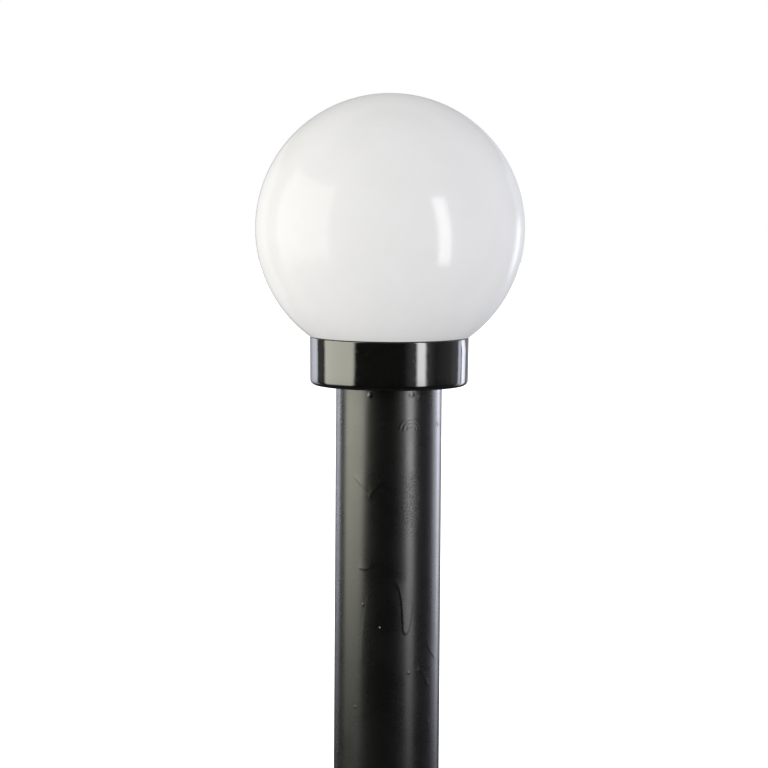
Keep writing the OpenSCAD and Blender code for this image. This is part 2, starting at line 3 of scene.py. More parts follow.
import bmesh
import bpy
import numpy as np
from mathutils import Euler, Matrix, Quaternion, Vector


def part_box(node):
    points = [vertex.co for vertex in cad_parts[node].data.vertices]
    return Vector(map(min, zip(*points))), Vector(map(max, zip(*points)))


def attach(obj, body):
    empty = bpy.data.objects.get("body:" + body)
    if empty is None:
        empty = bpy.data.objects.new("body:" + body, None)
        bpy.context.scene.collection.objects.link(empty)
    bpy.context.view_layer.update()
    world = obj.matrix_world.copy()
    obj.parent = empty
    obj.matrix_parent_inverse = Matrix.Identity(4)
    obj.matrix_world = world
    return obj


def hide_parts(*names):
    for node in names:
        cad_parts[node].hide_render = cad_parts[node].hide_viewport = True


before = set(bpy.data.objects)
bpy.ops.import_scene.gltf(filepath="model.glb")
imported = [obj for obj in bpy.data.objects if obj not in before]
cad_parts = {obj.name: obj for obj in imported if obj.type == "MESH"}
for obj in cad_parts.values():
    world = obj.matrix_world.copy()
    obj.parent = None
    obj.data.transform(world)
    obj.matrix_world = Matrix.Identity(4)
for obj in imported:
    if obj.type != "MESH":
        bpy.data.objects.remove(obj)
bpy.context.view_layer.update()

scene = bpy.context.scene
scene.view_settings.view_transform = "Standard"


# Camera
# A long lens about three metres away, a little above the globe and pitched down at the cup.
# The small yaw and roll put the post where it stands in the picture, with its foot a little to the left.
camera_distance = 2.984
camera_height = 0.8404
camera_pitch = 4.97
camera_yaw = 0.072
camera_roll = 0.405
camera_lens = 186.1
camera_sensor = 36

lens = bpy.data.cameras.new("camera")
lens.sensor_width = camera_sensor
lens.lens = camera_lens
camera = bpy.data.objects.new("camera", lens)
scene.collection.objects.link(camera)
camera.location = (0, -camera_distance, camera_height)
aim = Euler((radians(90 - camera_pitch), 0, radians(camera_yaw))).to_quaternion()
camera.rotation_euler = (aim @ Quaternion((0, 0, 1), radians(camera_roll))).to_euler()
scene.camera = camera


# Floor
# A round pale floor that fades to white where it runs out behind the post.
# It is a flat disc of rings, and only its material changes from the middle outwards.
floor_radius = 12.0
floor_white_from = 0.35
floor_white_to = 1.4
floor_tone = (0.8, 0.8, 0.8, 1)
floor_rings = np.array([0.0, 0.1, 0.2, 0.4, 0.8, 1.6, 3.2, floor_radius])
floor_columns = 96


def add_node(tree, kind, inputs=None, **settings):
    """Adds one shader node. An input is a plain value, or the output socket that feeds it."""
    node = tree.nodes.new(kind)
    for key, value in settings.items():
        setattr(node, key, value)
    for key, value in (inputs or {}).items():
        if isinstance(value, bpy.types.NodeSocket):
            tree.links.new(value, node.inputs[key])
        else:
            node.inputs[key].default_value = value
    return node


def math_node(tree, operation, *terms):
    """The result of one sum in a shader tree, such as ADD of two terms or MULTIPLY_ADD of three."""
    return add_node(tree, "ShaderNodeMath", dict(enumerate(terms)), operation=operation).outputs[0]


def ramp(tree, value, start, end, low=0.0, high=1.0):
    """A smooth rise from low to high while the value goes from start to end."""
    inputs = {"Value": value, "From Min": start, "From Max": end, "To Min": low, "To Max": high}
    return add_node(tree, "ShaderNodeMapRange", inputs, interpolation_type="SMOOTHSTEP").outputs["Result"]


def blend(tree, factor, first, second):
    """A colour between two, each a plain (r, g, b) or an output socket."""
    colours = [c if isinstance(c, bpy.types.NodeSocket) else (*c, 1) for c in (first, second)]
    inputs = {0: factor, 6: colours[0], 7: colours[1]}
    return add_node(tree, "ShaderNodeMix", inputs, data_type="RGBA").outputs[2]


def start_material(name):
    """Makes an empty node material and gives its tree, its output node and its object coordinates."""
    material = bpy.data.materials.new(name)
    material.use_nodes = True
    tree = material.node_tree
    tree.nodes.clear()
    output = tree.nodes.new("ShaderNodeOutputMaterial")
    place = tree.nodes.new("ShaderNodeTexCoord").outputs["Object"]
    return material, tree, output, place


def end_material(tree, output, inputs):
    """Ends a material in one principled shader with these inputs."""
    shader = add_node(tree, "ShaderNodeBsdfPrincipled", inputs)
    tree.links.new(shader.outputs["BSDF"], output.inputs["Surface"])


def grid_faces(rows, columns, close_rows=False, close_columns=False):
    """Quads of a grid of points, row by row, joined last to first in either direction if asked."""
    i = np.arange(rows if close_rows else rows - 1)[:, None]
    j = np.arange(columns if close_columns else columns - 1)[None, :]
    below = (i % rows) * columns
    above = ((i + 1) % rows) * columns
    left = j % columns
    right = (j + 1) % columns
    quads = np.stack(np.broadcast_arrays(below + left, below + right, above + right, above + left), -1)
    return quads.reshape(-1, 4)


def turned(radius, angle, height):
    """Points at a radius and a height, at an angle counted anticlockwise from the camera's side when
    seen from above: (r sin a, -r cos a, h)."""
    radius, angle, height = np.broadcast_arrays(radius, angle, height)
    return np.stack((radius * np.sin(angle), -radius * np.cos(angle), height), -1)


def lathe(profile, angles):
    """Turns a profile of (radius, height) points about the upright axis, one row to a point."""
    radius, height = np.asarray(profile, float).T
    return turned(radius[:, None], angles, height[:, None])


def full_turn(steps):
    """Evenly spaced angles once round, without the last, which is the first again."""
    return np.arange(steps) * 2 * pi / steps


seam_gap = 1e-6
least_edge = 1e-7


def add_piece(name, patches, material, crease=35):
    """Joins grids of points and their quads into one mesh, closes its seams and poles, and shades it
    smooth except where faces meet at more than the crease angle."""
    starts = np.cumsum([0] + [len(points) for points, _ in patches])
    points = np.concatenate([points for points, _ in patches])
    faces = np.concatenate([faces + start for (_, faces), start in zip(patches, starts)])
    mesh = bpy.data.meshes.new(name)
    mesh.from_pydata(points, [], faces)
    sew = bmesh.new()
    sew.from_mesh(mesh)
    bmesh.ops.remove_doubles(sew, verts=sew.verts, dist=seam_gap)
    bmesh.ops.dissolve_degenerate(sew, edges=sew.edges, dist=least_edge)
    sew.to_mesh(mesh)
    sew.free()
    mesh.shade_smooth()
    mesh.set_sharp_from_angle(angle=radians(crease))
    mesh.materials.append(material)
    piece = bpy.data.objects.new(name, mesh)
    scene.collection.objects.link(piece)
    return piece


floor_material, tree, output, place = start_material("pale floor")
reach = add_node(tree, "ShaderNodeVectorMath", {0: place}, operation="LENGTH").outputs["Value"]
end_material(tree, output, {
    "Base Color": floor_tone, "Roughness": 1.0, "Specular IOR Level": 0.0,
    "Emission Color": (1, 1, 1, 1), "Emission Strength": ramp(tree, reach, floor_white_from, floor_white_to),
})
spread = lathe(np.stack((floor_rings[::-1], 0 * floor_rings), -1), full_turn(floor_columns)).reshape(-1, 3)
floor_faces = grid_faces(len(floor_rings), floor_columns, close_columns=True)
floor = add_piece("floor", [(spread, floor_faces)], floor_material)
floor.visible_glossy = False
floor.visible_diffuse = False


# Studio light
# A bright room lights everything softly, most from both sides, warmer on the left. What shines in the
# gloss stands round the post: a broad warm softbox, a narrow strip and a pale backdrop in pieces.
room_base = 0.44
room_front = 0.331
room_top = 0.065
room_left = 1.0
room_right = 0.8
room_left_reach = (-1.0, 0.2)
room_right_reach = (0.2, 1.0)
room_tint_reach = (-0.6, 0.6)
warm_light = (1.0, 0.99, 0.955)
cool_light = (0.985, 0.988, 1.03)
# What the gloss shows of the room: dark in front, dim behind, and less of both below the horizon
room_dark = 0.015
room_dim = 0.18
room_dark_to_dim = (-0.8, 0.4)
room_below = 0.3
room_below_to_above = (-0.19, -0.09)

world = bpy.data.worlds.new("studio")
world.use_nodes = True
scene.world = world
tree = world.node_tree
tree.nodes.clear()
way = tree.nodes.new("ShaderNodeTexCoord").outputs["Generated"]
lean = {0: way, 1: (0, -room_front, room_top)}
slope = add_node(tree, "ShaderNodeVectorMath", lean, operation="DOT_PRODUCT").outputs["Value"]
sideways, back, up = add_node(tree, "ShaderNodeSeparateXYZ", {"Vector": way}).outputs
on_left = ramp(tree, sideways, *room_left_reach, room_left, 0.0)
on_right = ramp(tree, sideways, *room_right_reach, 0.0, room_right)
soft = math_node(tree, "ADD", slope, math_node(tree, "ADD", on_left, on_right))
soft = math_node(tree, "ADD", soft, room_base)
ray = tree.nodes.new("ShaderNodeLightPath")
to_camera = ray.outputs["Is Camera Ray"]
to_gloss = ray.outputs["Is Glossy Ray"]
dim = ramp(tree, back, *room_dark_to_dim, room_dark, room_dim)
dim = math_node(tree, "MULTIPLY", dim, ramp(tree, up, *room_below_to_above, room_below, 1.0))
strength = math_node(tree, "MULTIPLY_ADD", to_gloss, math_node(tree, "SUBTRACT", dim, soft), soft)
strength = math_node(tree, "MAXIMUM", strength, to_camera)
tint = blend(tree, ramp(tree, sideways, *room_tint_reach), warm_light, cool_light)
tint = blend(tree, to_camera, tint, (1, 1, 1))
room = add_node(tree, "ShaderNodeBackground", {"Color": tint, "Strength": strength})
sky = tree.nodes.new("ShaderNodeOutputWorld")
tree.links.new(room.outputs["Background"], sky.inputs["Surface"])


def smooth_step(x):
    """Rises from 0 to 1 between 0 and 1 along 3x^2 - 2x^3."""
    x = np.clip(x, 0, 1)
    return x * x * (3 - 2 * x)


panel_light, tree, output, _ = start_material("panel light")
glow = add_node(tree, "ShaderNodeAttribute", attribute_name="glow").outputs["Color"]
shine = add_node(tree, "ShaderNodeEmission", {"Color": glow, "Strength": 1.0}).outputs["Emission"]
clear = tree.nodes.new("ShaderNodeBsdfTransparent").outputs["BSDF"]
both = add_node(tree, "ShaderNodeAddShader", {0: shine, 1: clear}).outputs["Shader"]
tree.links.new(both, output.inputs["Surface"])


panel_rows = 65
panel_columns = 49
black_pieces = bpy.data.collections.new("lit as painted pieces")
cup_pieces = bpy.data.collections.new("lit as the cup")
white_pieces = bpy.data.collections.new("lit as the globe")


def add_panel(name, receivers, azimuths, heights, radiances, tint, fade, edge=3.0, lean=(0, 0), distance=1.0):
    """Stands a curved panel between two azimuths, in degrees from the camera's side, left negative, and
    two heights. Its light goes from the first radiance to the second across it, rises from nothing over
    the fade, in metres from its foot, and is soft over the edge, in degrees. Its two sides lean by so
    many degrees a metre. Only the gloss of its receivers shows it, and overlapping panels add up."""
    across, up = np.meshgrid(np.linspace(0, 1, panel_columns), np.linspace(0, 1, panel_rows))
    level = heights[0] + up * (heights[1] - heights[0])
    first = azimuths[0] - edge / 2 + lean[0] * (level - sum(heights) / 2)
    last = azimuths[1] + edge / 2 + lean[1] * (level - sum(heights) / 2)
    width = last - first
    points = turned(distance, np.radians(first + across * width), level)
    light = smooth_step(np.minimum(across, 1 - across) * width / edge)
    light = light * smooth_step(np.degrees((heights[1] - level) / distance) / edge)
    light = light * smooth_step((level - heights[0]) / fade)
    light = light * (radiances[0] + across * (radiances[1] - radiances[0]))
    glow = np.concatenate((light[..., None] * tint, np.ones((*light.shape, 1))), -1)
    mesh = bpy.data.meshes.new(name)
    mesh.from_pydata(points.reshape(-1, 3), [], grid_faces(panel_rows, panel_columns))
    mesh.attributes.new("glow", "FLOAT_COLOR", "POINT").data.foreach_set("color", glow.ravel())
    mesh.materials.append(panel_light)
    panel = bpy.data.objects.new(name, mesh)
    scene.collection.objects.link(panel)
    panel.visible_camera = False
    panel.visible_diffuse = False
    panel.visible_shadow = False
    panel.light_linking.receiver_collection = receivers


warm = (1.0, 1.0, 0.85)
plain = (1.0, 1.0, 1.0)
cool = (0.93, 0.955, 1.09)

# What the painted pieces and those inside show. The last panel hangs under the floor and stands for it.
# Panels that would coincide stand at different distances, because only one of the two would be seen.
black = black_pieces
far = 1.1
add_panel("softbox", black, (-105.5, -41.8), (0.1, 1.36), (3.1, 3.3), warm, 0.43, edge=8, lean=(0, 36))
add_panel("strip", black, (37.0, 54.3), (0.05, 1.19), (4.3, 4.3), plain, 0.5, edge=6, lean=(-12, -6))
add_panel("strip_halo", black, (23, 61), (0.05, 1.19), (0.35, 0.25), plain, 0.6, edge=16, distance=far)
add_panel("line", black, (112, 126), (0.0, 1.3), (2.2, 2.2), cool, 0.55, edge=4)
add_panel("side_glow", black, (100, 130), (0.0, 1.3), (0.1, 0.3), cool, 0.6, edge=8, distance=far)
add_panel("right_backdrop", black, (129, 144.5), (0.0, 1.3), (8.4, 3.2), cool, 0.6)
add_panel("left_backdrop", black, (-150, -129.5), (0.06, 1.3), (0.2, 2.6), cool, 0.5)
add_panel("back_wall", black, (148, 231), (0.0, 3.0), (0.25, 0.8), cool, 0.55, edge=6, distance=1.3)
add_panel("floor_shine", black, (-180, 180), (-3.0, -0.05), (0.25, 0.25), plain, 0.5, edge=20, distance=1.15)

# What the cup shows, each with its edge, lean and distance at the end
cup = cup_pieces
near = 0.97
behind = 1.07
add_panel("cup_softbox", cup, (-104.5, -45.8), (0.1, 1.36), (3.0, 3.2), warm, 0.43, 6, (0, 20), near)
add_panel("cup_strip", cup, (39.2, 52.2), (0.05, 1.19), (6.4, 6.4), plain, 0.6, 6, (-6, -6), near)
add_panel("cup_halo", cup, (27, 63), (0.05, 1.19), (0.27, 0.27), plain, 0.6, 16, (0, 0), behind)
add_panel("cup_line", cup, (117.5, 125.5), (0.0, 1.3), (2.2, 2.2), cool, 0.55, 4, (0, 0), near)
add_panel("cup_glow", cup, (100, 130), (0.0, 1.3), (0.06, 0.25), cool, 0.55, 8, (0, 0), behind)
add_panel("cup_right_backdrop", cup, (129, 144.5), (0.0, 1.3), (5.6, 1.4), cool, 0.55, 3, (0, 0), near)
add_panel("cup_left_backdrop", cup, (-150, -124.5), (0.06, 1.3), (0.2, 2.2), cool, 0.5, 3, (0, 0), near)
add_panel("cup_back_wall", cup, (148, 231), (0.0, 3.0), (0.25, 0.8), cool, 0.55, 6, (0, 0), 1.26)

# What the globe shows
white = white_pieces
add_panel("globe_softbox", white, (-107.5, -51), (0.18, 1.36), (1.1, 1.9), warm, 0.3, edge=6)
add_panel("globe_strip", white, (39.5, 50.5), (0.14, 1.19), (5.6, 5.6), plain, 0.2, edge=2, lean=(-6, -6))
add_panel("globe_right_rim", white, (134, 170), (0.1, 1.0), (0.4, 0.2), cool, 0.3, edge=4)
add_panel("globe_right_line", white, (131, 143), (0.3, 0.78), (1.4, 1.4), cool, 0.2, edge=7, distance=far)
add_panel("globe_left_rim", white, (-160, -126), (0.0, 1.1), (0.3, 0.55), plain, 0.3, edge=6)
add_panel("globe_wall", white, (100, 260), (-0.8, 3.0), (0.3, 0.3), plain, 0.3, edge=20, distance=1.3)


# Base plate
# A round steel plate, 8 mm thick, with four anchor bolt holes and a cable hole in the middle.
# Its upper edges are eased before painting, and it is sprayed black together with the post.


def new_group(name, inputs, outputs):
    """Starts a shader node group with the given named sockets, each a (name, kind, default)."""
    group = bpy.data.node_groups.new(name, "ShaderNodeTree")
    for label, kind, default in inputs:
        socket = group.interface.new_socket(label, in_out="INPUT", socket_type=kind)
        if default is not None:
            socket.default_value = default
    for label, kind in outputs:
        group.interface.new_socket(label, in_out="OUTPUT", socket_type=kind)
    return group, group.nodes.new("NodeGroupInput").outputs, group.nodes.new("NodeGroupOutput").inputs


def use_group(tree, group, inputs):
    """Puts a group into a material with its own values, and gives its outputs."""
    return add_node(tree, "ShaderNodeGroup", inputs, node_tree=group).outputs


# Grain is cloudy noise at one size under finer noise, as a height and as a tone from 0 to 1.
fine_share = 0.35
tone_reach = (0.42, 0.93)
grain, enter, leave = new_group("grain", [
    ("Place", "NodeSocketVector", None),
    ("Size", "NodeSocketFloat", 0.004),
    ("Fineness", "NodeSocketFloat", 4.0),
], [("Height", "NodeSocketFloat"), ("Tone", "NodeSocketFloat")])
pitch = math_node(grain, "DIVIDE", 1.0, enter["Size"])
fine_pitch = math_node(grain, "MULTIPLY", pitch, enter["Fineness"])
cloud_inputs = {"Vector": enter["Place"], "Scale": pitch, "Detail": 2.0, "Roughness": 0.5}
fine_inputs = {"Vector": enter["Place"], "Scale": fine_pitch, "Detail": 3.0, "Roughness": 0.6}
cloud = add_node(grain, "ShaderNodeTexNoise", cloud_inputs).outputs["Fac"]
fine = add_node(grain, "ShaderNodeTexNoise", fine_inputs).outputs["Fac"]
height = math_node(grain, "MULTIPLY_ADD", fine, fine_share, cloud)
grain.links.new(height, leave["Height"])
grain.links.new(ramp(grain, height, *tone_reach), leave["Tone"])

# Dust is small round specks, one to a cell at most, in the share of cells asked for.
dust, enter, leave = new_group("dust", [
    ("Place", "NodeSocketVector", None),
    ("Spacing", "NodeSocketFloat", 0.01),
    ("Share", "NodeSocketFloat", 0.2),
    ("Speck", "NodeSocketFloat", 0.0003),
], [("Mask", "NodeSocketFloat")])
pitch = math_node(dust, "DIVIDE", 1.0, enter["Spacing"])
cells = add_node(dust, "ShaderNodeTexVoronoi", {"Vector": enter["Place"], "Scale": pitch}).outputs
off = math_node(dust, "MULTIPLY", cells["Distance"], enter["Spacing"])
off = math_node(dust, "DIVIDE", off, enter["Speck"])
lot = add_node(dust, "ShaderNodeSeparateColor", {"Color": cells["Color"]}).outputs["Red"]
kept = math_node(dust, "LESS_THAN", lot, enter["Share"])
dust.links.new(math_node(dust, "MULTIPLY", ramp(dust, off, 0.5, 1.0, 1.0, 0.0), kept), leave["Mask"])

# Spot is a soft round or oval mark about one place, with a half size along each axis.
spot, enter, leave = new_group("spot", [
    ("Place", "NodeSocketVector", None),
    ("Centre", "NodeSocketVector", None),
    ("Half size", "NodeSocketVector", None),
], [("Mask", "NodeSocketFloat")])
away = add_node(spot, "ShaderNodeVectorMath", {0: enter["Place"], 1: enter["Centre"]}, operation="SUBTRACT")
away = add_node(spot, "ShaderNodeVectorMath", {0: away.outputs[0], 1: enter["Half size"]}, operation="DIVIDE")
away = add_node(spot, "ShaderNodeVectorMath", {0: away.outputs[0]}, operation="LENGTH").outputs["Value"]
spot.links.new(ramp(spot, away, 0.5, 1.0, 1.0, 0.0), leave["Mask"])


def add_bump(tree, relief, height, **under):
    """A normal that follows a height, with its relief in metres, over the Normal under it if given."""
    inputs = {"Strength": 1.0, "Distance": relief, "Height": height, **under}
    return add_node(tree, "ShaderNodeBump", inputs).outputs["Normal"]


dust_spacing = 0.009
dust_speck = 0.0003
dust_colour = (0.3, 0.3, 0.29)
dust_roughness = 0.5
coat_roughness = 0.05


def finish(name, colours, roughness, size, relief, metallic=0.0, ior=1.5, dusty=0.0, coat=0.0):
    """A material whose colour and roughness both run between two values with the grain, and whose
    surface has that relief, in metres. Specks of dust lie on it in the share of cells asked for."""
    material, tree, output, place = start_material(name)
    mottle = use_group(tree, grain, {"Place": place, "Size": size})
    tint = blend(tree, mottle["Tone"], *colours)
    rough = math_node(tree, "MULTIPLY_ADD", mottle["Tone"], roughness[1] - roughness[0], roughness[0])
    if dusty:
        specks = use_group(tree, dust, {
            "Place": place, "Spacing": dust_spacing, "Share": dusty, "Speck": dust_speck,
        })["Mask"]
        tint = blend(tree, specks, tint, dust_colour)
        rough = math_node(tree, "MULTIPLY_ADD", specks, dust_roughness, rough)
    end_material(tree, output, {
        "Base Color": tint, "Roughness": rough, "Metallic": metallic, "IOR": ior,
        "Coat Weight": coat, "Coat Roughness": coat_roughness,
        "Normal": add_bump(tree, relief, mottle["Height"]),
    })
    return material


def dress(material, slot, *nodes):
    """Gives the solids of some nodes a material. The slot is not used."""
    for name in nodes:
        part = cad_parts[name]
        black_pieces.objects.link(part)
        part.data.materials.clear()
        part.data.materials.append(material)


def take_place(piece, node, light=black_pieces):
    """Makes a new piece stand for a node, in the light of the painted pieces, the cup or the globe."""
    light.objects.link(piece)
    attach(piece, "root")
    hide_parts(node)


flat_bend = 1
wide_share = 12


def fair_copy(node, name, material, crease=30, light=black_pieces):
    """A copy of a node with its loose triangles merged and its curved walls shaded smooth. An edge stays
    sharp where it bends more than the crease, or where a wide face meets the small faces of a rounding."""
    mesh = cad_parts[node].data.copy()
    mesh.name = name
    sew = bmesh.new()
    sew.from_mesh(mesh)
    bmesh.ops.remove_doubles(sew, verts=sew.verts, dist=seam_gap)
    for edge in sew.edges:
        bend = edge.calc_face_angle(pi)
        areas = sorted(face.calc_area() for face in edge.link_faces)
        even = areas[1] < wide_share * areas[0]
        edge.smooth = bend < radians(flat_bend) or (bend < radians(crease) and even)
    for face in sew.faces:
        face.smooth = True
    sew.to_mesh(mesh)
    sew.free()
    mesh.materials.clear()
    mesh.materials.append(material)
    piece = bpy.data.objects.new(name, mesh)
    scene.collection.objects.link(piece)
    take_place(piece, node, light)


plate_paint = finish("black plate paint", ((0.0025, 0.0025, 0.0024), (0.004, 0.004, 0.004)), (0.33, 0.41),
                     0.005, 0.00005, ior=1.75, dusty=0.12)
fair_copy("base_plate", "plate_painted", plate_paint)


# Base weld
# One bead of weld round the foot of the post, laid in short overlapping ripples and painted over.
# It covers the whole joint, so that no water gets under the post.
weld_low, weld_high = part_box("base_weld")
weld_foot = weld_low.z
weld_leg = weld_high.z - weld_low.z
weld_inner = 0.040
weld_ripple = 0.00022
weld_ripples = 84
weld_lag = 0.9
weld_slant = 0.707
weld_rows = 9
weld_columns = 588
weld_crease = 50

across, angle = np.meshgrid(np.linspace(0, 1, weld_rows), full_turn(weld_columns), indexing="ij")
# Straight from the plate to the post, pressed out by a ripple that leans back at both toes
swell = 4 * across * (1 - across)
lag = weld_lag * (2 * across - 1) ** 2
swell = swell * weld_ripple * (1 + np.cos(weld_ripples * angle + lag * pi))
radius = weld_inner + weld_leg * (1 - across) + swell * weld_slant
height = weld_foot + weld_leg * across + swell * weld_slant
bead = turned(radius, angle, height)
back = lathe([(weld_inner, weld_foot + weld_leg), (weld_inner, weld_foot)], full_turn(weld_columns))
ring = np.concatenate((bead, back)).reshape(-1, 3)
ring_faces = grid_faces(weld_rows + 2, weld_columns, True, True)
weld = add_piece("weld_bead", [(ring, ring_faces)], plate_paint, weld_crease)
take_place(weld, "base_weld")


# Post
# A steel tube of 80 mm, sprayed with a thick coat of black that sagged and ran before it dried.
# The lower edges of the sags stand up to a third of a millimetre from the wall, towards the camera.
post_radius = 0.040
post_bore = 0.037
post_foot, post_top = (corner.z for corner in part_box("post_tube"))

# Each sag: its lower edge from left to right as (degrees, height), then its thickness, the width of its
# edge and how far up it thins out, in metres
sags = [
    ([(-42.0, 0.5150), (-36.4, 0.5110), (-27.0, 0.5050), (-19.0, 0.4982), (-15.5, 0.4952)],
     0.00028, 0.0009, 0.0016),
    ([(-22.5, 0.4972), (-19.0, 0.4994), (-14.0, 0.5040), (-9.0, 0.5080), (0.0, 0.5120)],
     0.00024, 0.0018, 0.005),
    ([(-34.0, 0.4444), (-29.0, 0.4440), (-25.0, 0.4436), (-20.0, 0.4448), (-15.0, 0.4468)],
     0.00015, 0.0010, 0.005),
    ([(44.0, 0.3930), (47.2, 0.3870), (52.0, 0.3815), (60.1, 0.3761), (66.0, 0.3740)],
     0.00018, 0.0011, 0.006),
    ([(34.0, 0.3680), (38.6, 0.3665), (43.0, 0.3640), (48.4, 0.3560), (52.0, 0.3560)],
     0.00030, 0.0010, 0.004),
]
# Each run: its left edge from the bottom up as (height, degrees), then its thickness, the width of its
# edge, how far to the right it thins out and the distance to the middle of its round end, in metres
runs = [
    ([(0.3955, 17.0), (0.4000, 16.1), (0.4060, 15.6), (0.4120, 15.2), (0.4200, 14.2), (0.4270, 12.6),
      (0.4325, 9.8), (0.4365, 5.5), (0.4390, 0.0)], 0.00026, 0.0010, 0.0045, 0.0025),
    ([(0.3720, -31.0), (0.3836, -31.1), (0.4000, -29.6), (0.4140, -26.5), (0.4294, -21.9)],
     0.00005, 0.0016, 0.008, 0.006),
]
# Each drop: degrees, height, radius and thickness
drops = [
    (-20.5, 0.5757, 0.0024, 0.00045), (25.2, 0.5762, 0.0030, 0.00018), (35.6, 0.5744, 0.0026, 0.00010),
    (-74.3, 0.5730, 0.0022, 0.00020), (24.0, 0.3666, 0.0014, 0.00016), (51.1, 0.3282, 0.0016, 0.00020),
    (-67.0, 0.3021, 0.0020, 0.00020), (67.8, 0.5524, 0.0018, 0.00025), (-27.0, 0.4180, 0.0010, 0.00025),
    (-5.3, 0.5530, 0.0018, 0.00016), (-36.0, 0.3400, 0.0014, 0.00012),
]
# Each wrinkle: degrees and height of the middle of its arc, radius of the arc and thickness
wrinkles = [
    (25.0, 0.5498, 0.0030, 0.00012), (24.5, 0.5494, 0.0058, 0.00016), (24.0, 0.5492, 0.0086, 0.00015),
    (-5.3, 0.5510, 0.0030, 0.00014), (67.8, 0.5510, 0.0034, 0.00014),
]
sag_end_share = 0.2
run_top_fade = 0.008
wrinkle_width = 0.0008
relief_top_fade = 0.0008
# The mesh is fine where the paint stands out, in front and from this height up, and coarse elsewhere
fine_turn = 75
fine_columns = 209
coarse_columns = 36
fine_from = 0.30
fine_rows = 396
coarse_rows = 8


def eased(points, times=3):
    """Rounds an open line by cutting each corner at a quarter and three quarters of its sides."""
    points = np.asarray(points, float)
    for _ in range(times):
        quarter = points[:-1] * 0.75 + points[1:] * 0.25
        far = points[:-1] * 0.25 + points[1:] * 0.75
        inside = np.stack((quarter, far), 1).reshape(-1, 2)
        points = np.concatenate((points[:1], inside, points[-1:]))
    return points


def sag_relief(x, y, line, thick, edge, reach):
    """A sag on the unrolled wall. With h the height above its lower edge, it is
    thick * rise(h / edge) * exp(-h / reach), and it dies away towards both ends of the edge."""
    turn, lower = eased(line).T
    span = np.radians(turn) * post_radius
    above = y - np.interp(x, span, lower)
    share = (x - span[0]) / (span[-1] - span[0])
    ends = smooth_step(np.minimum(share, 1 - share) / sag_end_share)
    return thick * smooth_step(above / edge) * np.exp(-np.clip(above, 0, 1) / reach) * ends


def run_relief(x, y, line, thick, edge, reach, half):
    """A run on the unrolled wall. With s the distance to the right of its left edge, it is
    thick * rise(s / edge) * exp(-s / reach) above a round end, the parabola (s - half)^2 / half."""
    level, turn = eased(line).T
    aside = x - np.interp(y, level, np.radians(turn) * post_radius)
    above = y - level[0] - np.clip(aside - half, -half, 3 * half) ** 2 / half
    body = smooth_step(aside / edge) * np.exp(-np.clip(aside, 0, 1) / reach) * smooth_step(above / edge)
    return thick * body * smooth_step((level[-1] - y) / run_top_fade)


def paint_relief(angle, height):
    """How far the paint stands out at an angle, in radians from the front, and a height: the sags, the
    runs, the drops as (1 - (distance / radius)^2)^2, and the wrinkles as the upper arcs of thin rings."""
    x = angle * post_radius
    relief = np.zeros(x.shape)
    for sag in sags:
        relief += sag_relief(x, height, *sag)
    for run in runs:
        relief += run_relief(x, height, *run)
    for middle, level, radius, thick in drops:
        off = ((x - radians(middle) * post_radius) ** 2 + (height - level) ** 2) / radius**2
        relief += thick * np.clip(1 - off, 0, 1) ** 2
    for middle, level, radius, thick in wrinkles:
        dx = x - radians(middle) * post_radius
        dy = height - level
        ring = np.exp(-(((np.hypot(dx, dy) - radius) / wrinkle_width) ** 2))
        relief += thick * ring * smooth_step((dy + 0.1 * radius) / (0.5 * radius))
    return relief


front = np.radians(np.linspace(-fine_turn, fine_turn, fine_columns))
rear = np.radians(np.linspace(fine_turn, 360 - fine_turn, coarse_columns)[1:-1])
angles = np.concatenate((front, rear))
plain_heights = np.linspace(post_foot, fine_from, coarse_rows)[:-1]
heights = np.concatenate((plain_heights, np.linspace(fine_from, post_top, fine_rows)))
turn, level = np.meshgrid(np.where(angles > pi, angles - 2 * pi, angles), heights)
relief = paint_relief(turn, level) * smooth_step((post_top - level) / relief_top_fade)
skin = turned(post_radius + relief, turn, level)
bore = lathe([(post_bore, post_top), (post_bore, post_foot)], angles)
wall = np.concatenate((skin, bore)).reshape(-1, 3)
wall_faces = grid_faces(len(heights) + 2, len(angles), True, True)

# The paint has fine orange peel all over, a patch of coarse grit on the right and one white speck
paint_colours = ((0.0003, 0.0003, 0.0002), (0.0008, 0.0008, 0.0007))
paint_roughness = (0.26, 0.30)
paint_ior = 1.85
peel_size = 0.0030
peel_relief = 0.000015
grit_scale = 900.0
grit_relief = 0.00003
grit_everywhere = 0.5
grit_in_patch = 2.0
grit_roughness = (-0.02, 0.10)
patch_centre = turned(post_radius, radians(27), 0.495).tolist()
patch_half = (0.011, 0.011, 0.036)
speck_centre = turned(post_radius, radians(-8.1), 0.4015).tolist()
speck_half = (0.0007, 0.0007, 0.0007)
speck_colour = (0.35, 0.35, 0.33)

post_paint, tree, output, place = start_material("black post paint")
peel = use_group(tree, grain, {"Place": place, "Size": peel_size, "Fineness": 3.0})
cloud = use_group(tree, grain, {"Place": place, "Size": 0.03})["Tone"]
patch = use_group(tree, spot, {"Place": place, "Centre": patch_centre, "Half size": patch_half})["Mask"]
patch = math_node(tree, "POWER", patch, 2.0)
speck = use_group(tree, spot, {"Place": place, "Centre": speck_centre, "Half size": speck_half})["Mask"]
tint = blend(tree, peel["Tone"], *paint_colours)
tint = blend(tree, speck, tint, speck_colour)
rough = math_node(tree, "MULTIPLY_ADD", cloud, paint_roughness[1] - paint_roughness[0], paint_roughness[0])
grit_inputs = {"Vector": place, "Scale": grit_scale, "Detail": 2.0, "Roughness": 0.6}
grit = add_node(tree, "ShaderNodeTexNoise", grit_inputs).outputs["Fac"]
rough = math_node(tree, "MULTIPLY_ADD", patch, ramp(tree, grit, 0.4, 0.6, *grit_roughness), rough)
